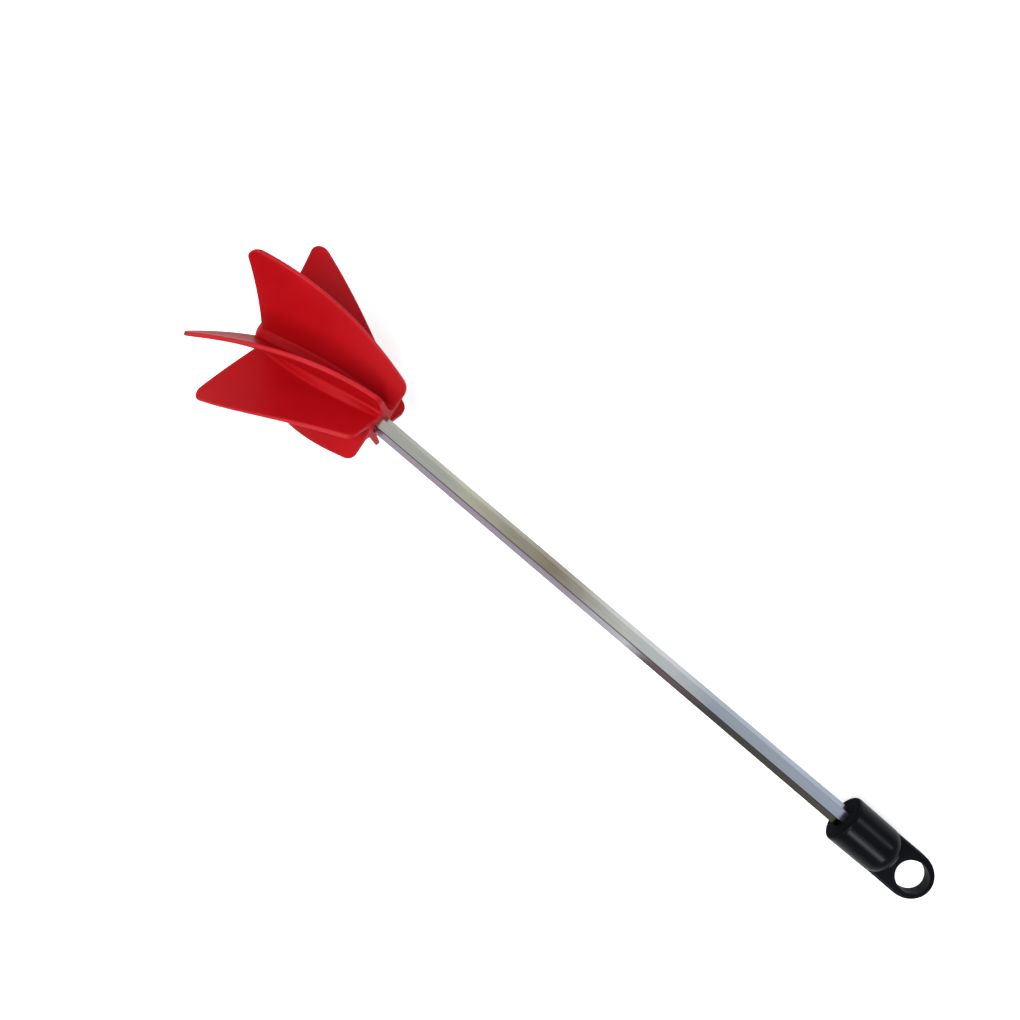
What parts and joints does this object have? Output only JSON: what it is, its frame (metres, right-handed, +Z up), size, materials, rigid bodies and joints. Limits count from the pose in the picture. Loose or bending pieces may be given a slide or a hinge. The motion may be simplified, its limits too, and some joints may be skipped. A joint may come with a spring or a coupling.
{
  "type": "resin mixing paddle",
  "caption": "Drill-driven mixing paddle: twisted vaned head on a hexagonal steel shank, with a push-on cap and hanging eye at the far end.",
  "frame": {"origin": "centre of the paddle's bounding box, at the floor it lies on", "axes": "+X along the paddle from the head towards the cap, +Z up from the floor"},
  "size_m": [0.3049, 0.0738, 0.0669],
  "materials": {
    "red_plastic": "semi-gloss moulded",
    "plated_steel": "bright drawn and plated",
    "black_plastic": "satin moulded"
  },
  "bodies": {
    "paddle": {"mixing_head": "red_plastic", "drive_shank": "plated_steel"},
    "cap": {"hanging_cap": "black_plastic"}
  },
  "joints": [
    {"name": "cap_pull", "type": "slide", "parent": "paddle", "child": "cap", "axis": [0.9959, 0, -0.0906], "range_m": [0, 0.02]}
  ]
}
